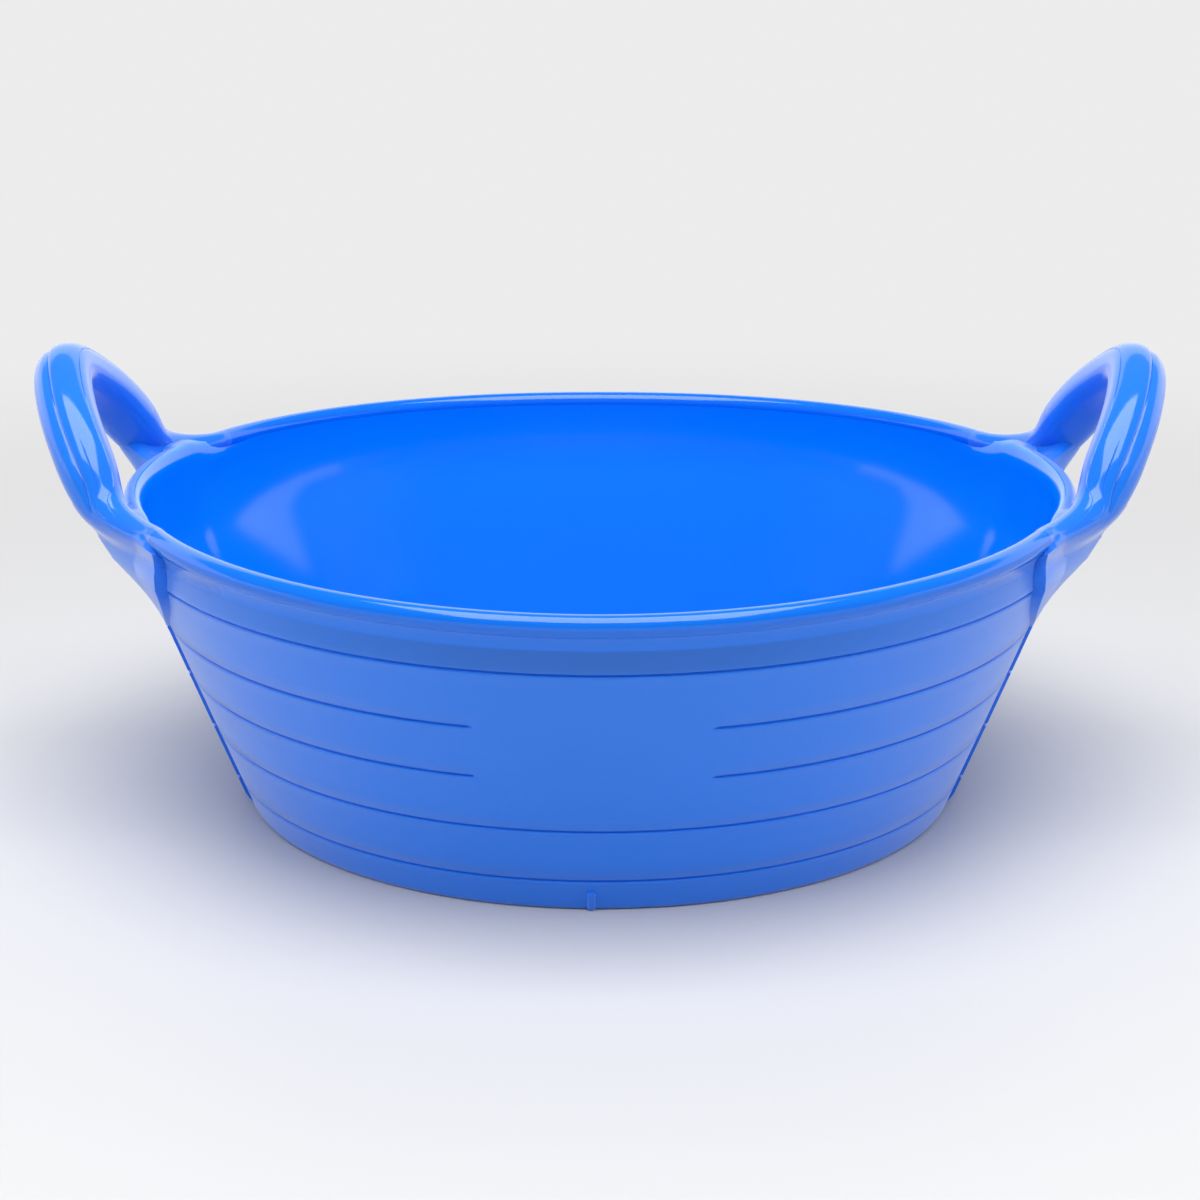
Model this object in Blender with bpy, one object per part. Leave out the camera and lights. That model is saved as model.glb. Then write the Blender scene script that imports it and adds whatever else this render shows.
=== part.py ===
"""Shallow flexible feed tub with two moulded loop handles, about 15 litres.

The tub is one moulding. It is modelled as the zones that a mould maker names: the shell that
holds the feed, the round bead on its rim, the two grips, and the web and strap under each grip.
Units are metres, +Z is up, and the origin is the centre of the base, on the ground.
The handles lie on the X axis. The front of the tub faces -Y.
"""
import math

import bmesh
import bpy
import numpy as np
from mathutils import Matrix, Vector

MM = 0.001

# Tub
BASE_DIAMETER = 325.6 * MM
RIM_DIAMETER = 428.6 * MM
RIM_HEIGHT = 140.5 * MM
BEAD_DIAMETER = 9.6 * MM
WALL = 2.7 * MM
COLLAR_WALL = 3.6 * MM
FLOOR = 3.0 * MM
CLEARANCE = 0.3 * MM

# The rim sweeps up towards the handles
RIM_RISE = 5.2 * MM
RISE_POWER = 1.7

# Foot
FOOT_WIDTH = 10.0 * MM
FOOT_DEPTH = 1.5 * MM
BASE_FILLET = 3.0 * MM
FLOOR_FILLET = 7.0 * MM

# Engraved fill lines, the lowest first, as shares of the height of the cone below the collar;
# the third and fourth stop short of the plain front panel
GROOVE_SHARES = (0.124, 0.340, 0.555, 0.759, 0.9855)
GROOVES_WITH_GAP = (2, 3)
GROOVE_WIDTH = 1.6 * MM
GROOVE_DEPTH = 0.6 * MM
PANEL_HALF_ANGLE = math.radians(14.5)
GROOVE_RUNOUT = math.radians(0.4)

# Collar below the bead, and the cove that sweeps out from it to the bead
BEAD_OVERHANG = 5.1 * MM
COLLAR_DROP = 23.5 * MM
COLLAR_LEAN = 0.8 * MM
COVE_DROP = 15.0 * MM
COVE_STEPS = (0.35, 0.7)
COVE_BEND = 1.2
COVE_MEETS_BEAD = math.radians(-55.0)
HOLLOW_END = math.radians(-166.0)

# Shallow recess inside the wall behind each handle
RECESS_HALF_ANGLE = math.radians(20.0)
RECESS_SLOPE_ANGLE = math.radians(4.0)
RECESS_DEPTH = 1.4 * MM

# Strap down the wall under each handle, which spreads into the web near the collar
STRAP_THICKNESS = 1.6 * MM
STRAP_HALF_ANGLE = math.radians(15.0)
SPREAD_HEIGHT = 39.5 * MM
SPREAD_HALF_ANGLE = math.radians(30.0)
SIDE_SLOPE = 0.015

# Lip of the wall between the legs of each grip, which starts a little inside the grip's roots
LIP_START_ANGLE = math.radians(2.0)
LIP_SPREAD_ANGLE = math.radians(5.9)

# Grip, a loop that leans outwards from the rim
GRIP_ROOT_ANGLE = math.radians(26.5)
GRIP_SPAN = 129.8 * MM
GRIP_REACH = 32.6 * MM
GRIP_RISE = 53.5 * MM
GRIP_WIDTH = 25.6 * MM
GRIP_DEPTH = 22.6 * MM
GRIP_SWELL = 0.25
GRIP_SQUARENESS = 0.35
# Centre line of a leg as shares of (reach, half span, rise)
GRIP_COURSE = (
    (0.12, 1.0, 0.07),
    (0.37, 0.865, 0.30),
    (0.63, 0.675, 0.60),
    (0.88, 0.36, 0.86),
    (1.0, 0.0, 1.0),
)
HOLE_CENTRE = (0.57, 0.45)

# Web that carries the grip's legs; it hardly stands out between them
WEB_LEAN = 0.535
WEB_EDGE_FLARE = 2.5 * MM
WEB_HEIGHT = 38.5 * MM
WEB_RAMP = 18.0 * MM
WEB_FLANK_ANGLE = math.radians(8.5)
WEB_LEG_ANGLE = math.radians(14.2)
WEB_END_ANGLE = math.radians(28.5)
WEB_FALL = 1.5
WEB_SHOULDER_ANGLES = (math.radians(17.0), math.radians(26.0))
WEB_ABOVE_RIM = 3.9 * MM
WEB_TOP_FALL = 1.6
WEB_EDGE_ABOVE_COVE = 6.5 * MM
WEB_SHELF_ABOVE_COVE = 2.5 * MM

# Gate nib at the front of the base
NIB_WIDTH = 3.4 * MM
NIB_HEIGHT = 7.5 * MM
NIB_PROUD = 1.8 * MM
NIB_OFFSET = -3.6 * MM
NIB_ROUNDING = 0.3

# Facets
COLUMNS = 84
LEAST_COLUMN_ANGLE = math.radians(0.25)
END_MARGIN_ANGLE = math.radians(1.0)
BASE_RING_SHARE = 0.5
HEEL_POINTS = 4
FILLET_POINTS = 5
BEAD_SIDES = 12
SEAT_POINTS = 5
GRIP_SIDES = 16
GRIP_RINGS = 35
WEB_BANDS = (4, 2, 3)

BLUE = (0.006, 0.170, 0.800, 1.0)
ROUGHNESS = 0.28

BASE_RADIUS = BASE_DIAMETER / 2
COLLAR_RADIUS = RIM_DIAMETER / 2 - BEAD_OVERHANG
COLLAR_HEIGHT = RIM_HEIGHT - COLLAR_DROP
COVE_START = RIM_HEIGHT - COVE_DROP
SPREAD_START = COVE_START - SPREAD_HEIGHT
WEB_START = COVE_START - WEB_HEIGHT
WEB_LEG_TOP = RIM_HEIGHT + WEB_ABOVE_RIM
WEB_EDGE_TOP = COVE_START + WEB_EDGE_ABOVE_COVE
WEB_SHELF_TOP = COVE_START + WEB_SHELF_ABOVE_COVE
LIP_THICKNESS = BEAD_DIAMETER - STRAP_THICKNESS - CLEARANCE
LIP_FOOT = RIM_HEIGHT - LIP_THICKNESS / 2
BEAD_RADIUS = BEAD_DIAMETER / 2
BEAD_CIRCLE = RIM_DIAMETER / 2 - BEAD_RADIUS
BEAD_HEIGHT = RIM_HEIGHT - BEAD_RADIUS
WALL_SLOPE = (COLLAR_RADIUS - BASE_RADIUS) / COLLAR_HEIGHT
WALL_ACROSS = WALL * math.hypot(1.0, WALL_SLOPE)


def smoothstep(value):
    value = min(max(value, 0.0), 1.0)
    return value * value * (3.0 - 2.0 * value)


def rise(angle, height):
    """Lift of a point on the wall towards the handles; the foot and the floor stay flat."""
    floor = FOOT_DEPTH + FLOOR
    share = max(height - floor, 0.0) / (RIM_HEIGHT - floor)
    return RIM_RISE * share * share * abs(math.cos(angle)) ** RISE_POWER


def place(radius, angle, height):
    """Point of the tub from its radius, its angle about the axis and its height before the rise."""
    return Vector((radius * math.cos(angle), radius * math.sin(angle), height + rise(angle, height)))


def from_handle(angle):
    """Unsigned angle from the nearer handle's axis."""
    turn = abs(math.remainder(angle, 2 * math.pi))
    return min(turn, math.pi - turn)


def from_front(angle):
    """Unsigned angle from the front."""
    return abs(math.remainder(angle + math.pi / 2, 2 * math.pi))


def recess_share(angle):
    """1 in the recess behind a handle, 0 beside it, sloped at its edge."""
    return min(max((RECESS_HALF_ANGLE - from_handle(angle)) / RECESS_SLOPE_ANGLE, 0.0), 1.0)


def lip_share(angle):
    """1 where the wall ends in the lip, 0 where it carries the bead."""
    start = GRIP_ROOT_ANGLE - LIP_START_ANGLE
    return smoothstep((start - from_handle(angle)) / LIP_SPREAD_ANGLE)


def groove_share(index, angle):
    """1 where a fill line is cut, 0 where it is not."""
    share = 1.0
    if index in GROOVES_WITH_GAP:
        share = min(max((from_front(angle) - PANEL_HALF_ANGLE) / GROOVE_RUNOUT, 0.0), 1.0)
    return share


def wall_outside(height):
    """Outer radius of the plain wall, a cone up to the collar and nearly upright above it."""
    if height <= COLLAR_HEIGHT:
        return BASE_RADIUS + WALL_SLOPE * height
    return COLLAR_RADIUS + COLLAR_LEAN * (height - COLLAR_HEIGHT) / (COVE_START - COLLAR_HEIGHT)


def wall_face(height, angle):
    """Outer radius of the shell at this height and angle, up to the foot of its seat or lip."""
    if height <= COVE_START:
        return wall_outside(height)
    lip = lip_share(angle)
    rows = [(wall_outside(COVE_START), COVE_START)] + cove_rows(lip) + seat_rows(lip)[:1]
    return float(np.interp(height, [z for _, z in rows], [r for r, _ in rows]))


def groove_rows(index):
    """Rows of one fill line as (height, depth), from below."""
    height = COLLAR_HEIGHT * GROOVE_SHARES[index]
    half = GROOVE_WIDTH / 2
    return ((height - half, 0.0), (height, GROOVE_DEPTH), (height + half, 0.0))


def arc(centre_r, centre_z, radius, start, end, count):
    """Points (r, z) along an arc in a radial plane."""
    angles = np.linspace(start, end, count)
    return [(centre_r + radius * math.cos(a), centre_z + radius * math.sin(a)) for a in angles]


def seat_rows(share):
    """Top of the wall: a hollow that the bead lies in, or a rounded lip between a grip's legs."""
    seat = BEAD_RADIUS + CLEARANCE
    hollow = arc(BEAD_CIRCLE, BEAD_HEIGHT, seat, COVE_MEETS_BEAD, HOLLOW_END, SEAT_POINTS)
    half = LIP_THICKNESS / 2
    lip = arc(BEAD_CIRCLE - BEAD_RADIUS + half, LIP_FOOT, half, 0.0, math.pi, SEAT_POINTS)
    return [(a[0] + (b[0] - a[0]) * share, a[1] + (b[1] - a[1]) * share) for a, b in zip(hollow, lip)]


def cove_rows(share):
    """Hollow sweep from the collar out to the bead, straight where the wall ends in the lip."""
    top = seat_rows(share)[0]
    foot = wall_outside(COVE_START)
    rows = []
    for step in COVE_STEPS:
        bend = step ** (1.0 + COVE_BEND * (1.0 - share))
        rows.append((foot + (top[0] - foot) * bend, COVE_START + (top[1] - COVE_START) * step))
    return rows


def shell_rows(angle):
    """Radii and heights of the shell in the radial plane at this angle, underside to inner floor."""
    lip = lip_share(angle)
    recess = RECESS_DEPTH * recess_share(angle)
    foot_inner = BASE_RADIUS - FOOT_WIDTH - BASE_FILLET
    base_ring = foot_inner * BASE_RING_SHARE
    rows = [(base_ring, FOOT_DEPTH), (foot_inner - FOOT_DEPTH, FOOT_DEPTH), (foot_inner, 0.0)]
    heel_z = BASE_FILLET
    heel_r = wall_outside(heel_z) - BASE_FILLET
    rows += arc(heel_r, heel_z, BASE_FILLET, -math.pi / 2, -math.atan(WALL_SLOPE), HEEL_POINTS)
    for index in range(len(GROOVE_SHARES)):
        for z, depth in groove_rows(index):
            rows.append((wall_outside(z) - depth * groove_share(index, angle), z))
    rows.append((wall_outside(COLLAR_HEIGHT), COLLAR_HEIGHT))
    rows.append((wall_outside(COVE_START), COVE_START))
    rows += cove_rows(lip)
    rows += seat_rows(lip)
    rows.append((wall_outside(COVE_START) - COLLAR_WALL, COVE_START))
    inner_floor = FOOT_DEPTH + FLOOR
    lean = math.atan(WALL_SLOPE)
    centre_z = inner_floor + FLOOR_FILLET
    centre_r = wall_outside(centre_z) - WALL_ACROSS - FLOOR_FILLET / math.cos(lean)
    for share in (1.0, 0.5):
        z = centre_z + (COLLAR_HEIGHT - WALL - centre_z) * share
        rows.append((wall_outside(z) - WALL_ACROSS + recess, z))
    for r, z in arc(centre_r, centre_z, FLOOR_FILLET, -lean, -math.pi / 2, FILLET_POINTS):
        rows.append((r + recess * (z - inner_floor) / FLOOR_FILLET, z))
    rows.append((base_ring, inner_floor))
    return rows


def tub_columns():
    """Angles of the shell's columns: evenly spaced, with extra ones at the ends of fill lines."""
    angles = [2 * math.pi * i / COLUMNS for i in range(COLUMNS)]
    for edge in (PANEL_HALF_ANGLE, PANEL_HALF_ANGLE + GROOVE_RUNOUT):
        angles += [-math.pi / 2 + edge, -math.pi / 2 - edge]
    turned = sorted(a % (2 * math.pi) for a in angles)
    kept = [turned[0]]
    for angle in turned[1:]:
        if angle - kept[-1] > LEAST_COLUMN_ANGLE:
            kept.append(angle)
    return kept


def close_end(bm, ring, thin):
    """Closes a ring with one face, or a long thin one with a ladder of faces between its sides."""
    if not thin:
        bm.faces.new(ring)
        return
    for i in range(len(ring) // 2 - 1):
        bm.faces.new((ring[i], ring[i + 1], ring[-2 - i], ring[-1 - i]))


def loft(rings, split=False, thin=False):
    """Closed body through a row of closed rings: each ring is extruded from the last one.

    Splitting its quads the same way each time keeps a thickened copy clear of the body itself.
    """
    bm = bmesh.new()
    ring = [bm.verts.new(p) for p in rings[0]]
    close_end(bm, ring, thin)
    for points in rings[1:]:
        edges = [bm.edges.get((a, b)) for a, b in zip(ring, ring[1:] + ring[:1])]
        made = bmesh.ops.extrude_edge_only(bm, edges=edges)["geom"]
        fresh = {v for v in made if isinstance(v, bmesh.types.BMVert)}
        following = []
        for vert, point in zip(ring, points):
            partner = next(e.other_vert(vert) for e in vert.link_edges if e.other_vert(vert) in fresh)
            partner.co = point
            following.append(partner)
        ring = following
    close_end(bm, ring, thin)
    if split:
        bmesh.ops.triangulate(bm, faces=bm.faces, quad_method="FIXED", ngon_method="EAR_CLIP")
    bmesh.ops.recalc_face_normals(bm, faces=bm.faces)
    return bm


def natural_spline(points):
    """Smooth curve through the points, as a function of 0..1 that gives place and direction."""
    points = np.array(points)
    knots = np.concatenate(([0.0], np.cumsum(np.linalg.norm(np.diff(points, axis=0), axis=1) ** 0.75)))
    steps = np.diff(knots)
    count = len(points)
    matrix = np.eye(count)
    right = np.zeros_like(points)
    for i in range(1, count - 1):
        matrix[i, i - 1:i + 2] = (steps[i - 1], 2 * (steps[i - 1] + steps[i]), steps[i])
        rise_after = (points[i + 1] - points[i]) / steps[i]
        rise_before = (points[i] - points[i - 1]) / steps[i - 1]
        right[i] = 6 * (rise_after - rise_before)
    bend = np.linalg.solve(matrix, right)

    def evaluate(share):
        t = share * knots[-1]
        i = min(int(np.searchsorted(knots, t, side="right")) - 1, count - 2)
        h = steps[i]
        a, b = (knots[i + 1] - t) / h, (t - knots[i]) / h
        place_at = (a * points[i] + b * points[i + 1]
                    + ((a ** 3 - a) * bend[i] + (b ** 3 - b) * bend[i + 1]) * h * h / 6)
        along = ((points[i + 1] - points[i]) / h
                 + (-(3 * a * a - 1) * bend[i] + (3 * b * b - 1) * bend[i + 1]) * h / 6)
        return Vector(place_at), Vector(along).normalized()
    return evaluate


def grip_course():
    """Centre line of the right-hand grip, from its front root on the rim to its rear root."""
    root = place(BEAD_CIRCLE, GRIP_ROOT_ANGLE, BEAD_HEIGHT)
    half = [(root.x, -root.y, root.z)]
    for out, side, up in GRIP_COURSE:
        across = -GRIP_SPAN / 2 * side
        half.append((BEAD_CIRCLE + GRIP_REACH * out, across, RIM_HEIGHT + GRIP_RISE * up))
    return half + [(x, -y, z) for x, y, z in reversed(half[:-1])]


def grip_rings(extra):
    """Rings of the grip, D-shaped with the flatter side towards the hand; extra thickens it."""
    curve = natural_spline(grip_course())
    hole_out, hole_up = HOLE_CENTRE
    centre = Vector((BEAD_CIRCLE + GRIP_REACH * hole_out, 0.0, RIM_HEIGHT + GRIP_RISE * hole_up))
    rings = []
    for i in range(GRIP_RINGS):
        share = i / (GRIP_RINGS - 1)
        middle, along = curve(share)
        if i in (0, GRIP_RINGS - 1):
            turn = GRIP_ROOT_ANGLE if i else -GRIP_ROOT_ANGLE
            along = Vector((-math.sin(turn), math.cos(turn), 0.0))
            middle = middle + along * (extra if i else -extra)
        swell = smoothstep(min(share, 1.0 - share) / GRIP_SWELL)
        half_width = BEAD_RADIUS + (GRIP_WIDTH / 2 - BEAD_RADIUS) * swell + extra
        half_depth = BEAD_RADIUS + (GRIP_DEPTH / 2 - BEAD_RADIUS) * swell + extra
        out = middle - centre
        out = (out - out.dot(along) * along).normalized()
        across = along.cross(out)
        ring = []
        for k in range(GRIP_SIDES):
            turn = 2 * math.pi * k / GRIP_SIDES
            c, s = math.cos(turn), math.sin(turn)
            power = 1.0 if s >= 0 else 1.0 - GRIP_SQUARENESS * swell
            x = math.copysign(abs(c) ** power, c)
            y = math.copysign(abs(s) ** power, s)
            ring.append(middle + across * (half_width * x) + out * (half_depth * y))
        rings.append(ring)
    return rings


def spread_angle(height):
    """Half-angle of the strap at this height: narrow on the wall, wide where the web begins."""
    share = min(max((COVE_START - height) / (COVE_START - SPREAD_START), 0.0), 1.0)
    return STRAP_HALF_ANGLE + (SPREAD_HALF_ANGLE - STRAP_HALF_ANGLE) * (1.0 - share * share)


def web_columns():
    """Columns of the web as shares of its half-angle: the shell's own, then its sloped sides."""
    turned = [math.remainder(angle, 2 * math.pi) for angle in tub_columns()]
    reach = SPREAD_HALF_ANGLE * (1.0 - SIDE_SLOPE) - END_MARGIN_ANGLE
    inner = sorted(angle / SPREAD_HALF_ANGLE for angle in turned if abs(angle) < reach)
    return [-1.0, SIDE_SLOPE - 1.0] + inner + [1.0 - SIDE_SLOPE, 1.0]


def web_shoulder(angle):
    """1 between the legs, falling to 0 outside them."""
    start, end = WEB_SHOULDER_ANGLES
    return 1.0 - smoothstep((abs(angle) - start) / (end - start))


def web_flank(angle):
    """0 between the legs, rising to 1 under them and outside them."""
    return smoothstep((abs(angle) - WEB_FLANK_ANGLE) / (WEB_LEG_ANGLE - WEB_FLANK_ANGLE))


def web_lobe(angle):
    """How far the web stands out at this angle: most under the legs, nothing between them."""
    beyond = min(max((abs(angle) - WEB_LEG_ANGLE) / (WEB_END_ANGLE - WEB_LEG_ANGLE), 0.0), 1.0)
    return web_flank(angle) * (1.0 - beyond) ** WEB_FALL


def web_top(angle):
    """Height of the web's outer edge: highest on the legs, level with the lip between them."""
    beyond = min(max((abs(angle) - WEB_LEG_ANGLE) / (SPREAD_HALF_ANGLE - WEB_LEG_ANGLE), 0.0), 1.0)
    outer = WEB_EDGE_TOP + (WEB_LEG_TOP - WEB_EDGE_TOP) * (1.0 - beyond) ** WEB_TOP_FALL
    return LIP_FOOT + (outer - LIP_FOOT) * web_flank(angle)


def web_flare(height):
    """Reach of the web under a leg: a straight lean after a short ramp."""
    above = max(height - WEB_START, 0.0)
    if above < WEB_RAMP:
        return WEB_LEAN * above * above / (2 * WEB_RAMP)
    return WEB_LEAN * (above - WEB_RAMP / 2)


def web_rows(top):
    """Rows of the web as (height, depth) from below; every fill line but the top one crosses it."""
    rows = [(BASE_FILLET, 0.0)]
    for index in range(len(GROOVE_SHARES) - 1):
        rows += groove_rows(index)
    marks = (rows[-1][0], COLLAR_HEIGHT, COVE_START, top)
    for start, end, steps in zip(marks, marks[1:], WEB_BANDS):
        rows += [(start + (end - start) * (i + 1) / steps, 0.0) for i in range(steps)]
    return rows


def web_ring(share):
    """Column of the web and strap at this share of its half-angle, down its outside and back up."""
    widest = SPREAD_HALF_ANGLE * share
    shelf = WEB_SHELF_TOP + (LIP_FOOT - WEB_SHELF_TOP) * web_shoulder(widest)
    top = web_top(widest) if abs(share) < 1.0 else shelf
    outside, back = [], []
    for (z, depth), (behind, _) in zip(web_rows(top), web_rows(shelf)):
        angle = spread_angle(z) * share
        plain = wall_face(behind, angle) + CLEARANCE
        back.append(place(plain, angle, behind))
        stand = CLEARANCE
        if abs(share) < 1.0:
            edge = min(max((z - WEB_START) / (COVE_START - WEB_START), 0.0), 1.0)
            least = WEB_EDGE_FLARE * edge * web_flank(angle)
            stand = STRAP_THICKNESS - depth + max(web_flare(z) * web_lobe(angle), least)
        outside.append(place(plain + stand, angle, z))
    return outside[::-1] + back


def blue_plastic(name):
    material = bpy.data.materials.new(name)
    material.use_nodes = True
    shader = material.node_tree.nodes["Principled BSDF"]
    shader.inputs["Base Color"].default_value = BLUE
    shader.inputs["Roughness"].default_value = ROUGHNESS
    shader.inputs["Metallic"].default_value = 0.0
    return material


def add_object(name, bm, turned=False):
    """Object from a bmesh; a turned one is made for the left side by half a turn."""
    if turned:
        bmesh.ops.rotate(bm, verts=bm.verts, matrix=Matrix.Rotation(math.pi, 3, "Z"))
    mesh = bpy.data.meshes.new(name)
    bm.to_mesh(mesh)
    bm.free()
    mesh.shade_smooth()
    mesh.set_sharp_from_angle(angle=math.radians(35.0))
    mesh.materials.append(blue_plastic(name))
    obj = bpy.data.objects.new(name, mesh)
    bpy.context.scene.collection.objects.link(obj)
    return obj


def cut(target, cutter):
    modifier = target.modifiers.new("seat_" + cutter.name, "BOOLEAN")
    modifier.operation = "DIFFERENCE"
    modifier.solver = "EXACT"
    modifier.object = cutter
    cutter.hide_render = True
    cutter.display_type = "WIRE"


def join(target, tool):
    modifier = target.modifiers.new("with_" + tool.name, "BOOLEAN")
    modifier.operation = "UNION"
    modifier.solver = "EXACT"
    modifier.object = tool
    tool.hide_render = True
    tool.display_type = "WIRE"


def make_shell():
    """Wall, collar, seat for the bead, floor and foot, lofted ring by ring from the underside."""
    columns = [[place(r, angle, z) for r, z in shell_rows(angle)] for angle in tub_columns()]
    return add_object("tub_shell", loft(list(zip(*columns))))


def make_nib():
    """Small upright rib on the base edge at the front."""
    bm = bmesh.new()
    bmesh.ops.create_cube(bm, size=1.0)
    depth = NIB_PROUD + WALL
    bmesh.ops.scale(bm, verts=bm.verts, vec=(NIB_WIDTH, depth, NIB_HEIGHT))
    top = [v for v in bm.verts if v.co.z > 0]
    bmesh.ops.translate(bm, verts=top, vec=(0.0, -WALL_SLOPE * NIB_HEIGHT, 0.0))
    rounding = NIB_PROUD * NIB_ROUNDING
    bmesh.ops.bevel(bm, geom=bm.edges[:], offset=rounding, segments=2, profile=0.5, affect="EDGES")
    front = -BASE_RADIUS - NIB_PROUD + depth / 2
    bmesh.ops.translate(bm, verts=bm.verts, vec=(NIB_OFFSET, front, NIB_HEIGHT / 2))
    return add_object("nib_form", bm)


def make_rim(name, rear):
    """Half of the bead, from root to root of the grips."""
    start = GRIP_ROOT_ANGLE + CLEARANCE / BEAD_CIRCLE
    first = start + END_MARGIN_ANGLE
    inner = [angle for angle in tub_columns() if first < angle < math.pi - first]
    rings = []
    for angle in [start] + inner + [math.pi - start]:
        turn = angle if rear else angle + math.pi
        section = arc(BEAD_CIRCLE, BEAD_HEIGHT, BEAD_RADIUS, 0.0, 2 * math.pi, BEAD_SIDES + 1)[:-1]
        rings.append([place(r, turn, BEAD_HEIGHT) + Vector((0.0, 0.0, z - BEAD_HEIGHT)) for r, z in section])
    return add_object(name, loft(rings))


def main():
    for obj in list(bpy.data.objects):
        bpy.data.objects.remove(obj, do_unlink=True)
    shell = make_shell()
    join(shell, make_nib())
    make_rim("rim_front", rear=False)
    make_rim("rim_rear", rear=True)
    for side, turned in (("right", False), ("left", True)):
        add_object("grip_" + side, loft(grip_rings(0.0), split=True), turned)
        web_form = loft([web_ring(share) for share in web_columns()], thin=True)
        web = add_object("web_" + side, web_form, turned)
        seat = add_object("grip_seat_" + side, loft(grip_rings(CLEARANCE), split=True), turned)
        cut(shell, seat)
        cut(web, seat)


main()
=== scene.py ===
"""Feed tub in blue low-density polyethylene: one flexible moulding with two loop handles.

The tub stands in its own frame, +Z up, with the middle of its base at the origin. Its handles lie
on the X axis and its front faces -Y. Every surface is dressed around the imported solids.
"""
from math import atan, atan2, copysign, cos, hypot, pi, radians, remainder, sin, sqrt

import bmesh
import bpy
import numpy as np
from bpy.props import FloatProperty, FloatVectorProperty, IntProperty, PointerProperty
from mathutils import Matrix, Vector
from mathutils.bvhtree import BVHTree


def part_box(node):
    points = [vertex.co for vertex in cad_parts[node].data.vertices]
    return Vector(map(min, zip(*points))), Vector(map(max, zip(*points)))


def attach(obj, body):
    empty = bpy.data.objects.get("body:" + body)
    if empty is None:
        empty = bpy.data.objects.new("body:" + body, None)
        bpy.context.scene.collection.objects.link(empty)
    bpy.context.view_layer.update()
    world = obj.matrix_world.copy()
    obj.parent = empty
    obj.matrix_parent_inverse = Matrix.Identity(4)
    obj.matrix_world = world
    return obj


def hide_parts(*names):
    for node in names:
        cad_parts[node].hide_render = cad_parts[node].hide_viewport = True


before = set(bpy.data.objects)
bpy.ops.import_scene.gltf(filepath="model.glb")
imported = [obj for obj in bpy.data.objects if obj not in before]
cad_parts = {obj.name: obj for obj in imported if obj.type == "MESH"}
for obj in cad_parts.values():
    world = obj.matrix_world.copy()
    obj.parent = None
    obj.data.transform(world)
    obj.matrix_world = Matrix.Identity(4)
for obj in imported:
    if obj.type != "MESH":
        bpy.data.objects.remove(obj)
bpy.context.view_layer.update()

bl_info = {
    "name": "Feed Tub",
    "version": (1, 0, 0),
    "blender": (4, 5, 0),
    "location": "View3D > Sidebar > Feed Tub",
    "description": "Builds a flexible feed tub with two loop handles, and its studio",
    "category": "Add Mesh",
}

MM = 0.001
RIM_LOW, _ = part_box("rim_front")

# Wall, in radial section
COLLAR_RADIUS = 209.2 * MM
COLLAR_HEIGHT = 117.0 * MM
COLLAR_LEAN = 0.8 * MM
INNER_BEND = 97.0 * MM
# Painted shade: from SHADE_FROM to SHADE_TO the wall's blue is darkened where the bead's shadow falls on the
# collar, fully at the front and less towards the sides
SHADE_FROM = 115.0 * MM
SHADE_TO = 125.0 * MM
SHADE_FADE = 2.5 * MM
SHADE_TURN = radians(62.0)
SHADE_LOSS = 0.8
COLLAR_PAINTED_SHADE = 0.66
COVE_START = 125.5 * MM
COVE_BEND = 1.2
FLOOR = 3.0 * MM
FLOOR_FILLET = 7.0 * MM
RISE_POWER = 1.7
ROWS_BETWEEN_LINES = (0.25, 0.5, 0.75)
COLLAR_ROWS = 9
COVE_STEPS = 12
INSIDE_TOP_ROWS = 15
INSIDE_ROWS = 17
FILLET_ROWS = 10
MERGE_DISTANCE = 0.01 * MM
SHARP_ANGLE = radians(40.0)

# Foot
FOOT_WIDTH = 10.0 * MM
FOOT_DEPTH = 1.5 * MM
FOOT_CHAMFER = 0.3 * MM
BASE_FILLET = 3.0 * MM
HEEL_ROWS = 9
GATE_RADIUS = 4.0 * MM
GATE_HEIGHT = 0.7 * MM

# Fill lines, the lowest first
GROOVE_HEIGHTS = (14.5 * MM, 39.8 * MM, 64.9 * MM, 88.8 * MM, 115.3 * MM)
GROOVE_GAPS = {2: 1.0, 3: 0.945}
PANEL_TURN = radians(-0.85)
GROOVE_RUNOUT = radians(0.4)
# Section of a fill line, from below: share of its half width, share of its depth
GROOVE_SECTION = ((-1.3, 0.0), (-1.0, -0.08), (-0.82, -0.05), (-0.14, 0.36), (-0.05, 0.48), (0.0, 0.94),
                  (0.08, 1.0), (0.78, 1.0), (0.88, 0.9), (0.95, 0.1), (1.04, 0.0))

# Recess inside the wall behind each handle
RECESS_HALF_ANGLE = radians(20.0)
RECESS_SLOPE_ANGLE = radians(4.0)
RECESS_DEPTH = 1.4 * MM
RECESS_TOP_FADE = 1.3

# Bead, the fine edge under it, strongest beside the webs, and the wall's seat
BEAD_SIDES = 72
BEAD_STEPS = 300
BEAD_TREE_STEPS = 180
BEAD_EDGE_ANGLE = radians(-50.0)
BEAD_EDGE_PROUD = 0.25 * MM
BEAD_EDGE_ENDS = (radians(30.0), radians(42.0))
BEAD_EDGE_LEAST = 0.25
COVE_MEETS_BEAD = radians(-62.0)
INSIDE_MEETS_BEAD = radians(-166.0)
SEAT_SHARE = 0.45
SEAT_ENDS = (radians(-40.0), radians(-150.0))
SEAT_ENTRY_SHARES = (0.96, 0.7)

# Lip between the legs of a grip
LIP_CROWN = 3.2 * MM
LIP_SQUARENESS = 0.72
LIP_INSIDE = 4.2 * MM
LIP_INSIDE_DROP = 8.0 * MM
LIP_INSIDE_ROWS = 7
LIP_SPREAD_ANGLE = radians(5.9)
LIP_START_ANGLE = radians(2.0)

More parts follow.
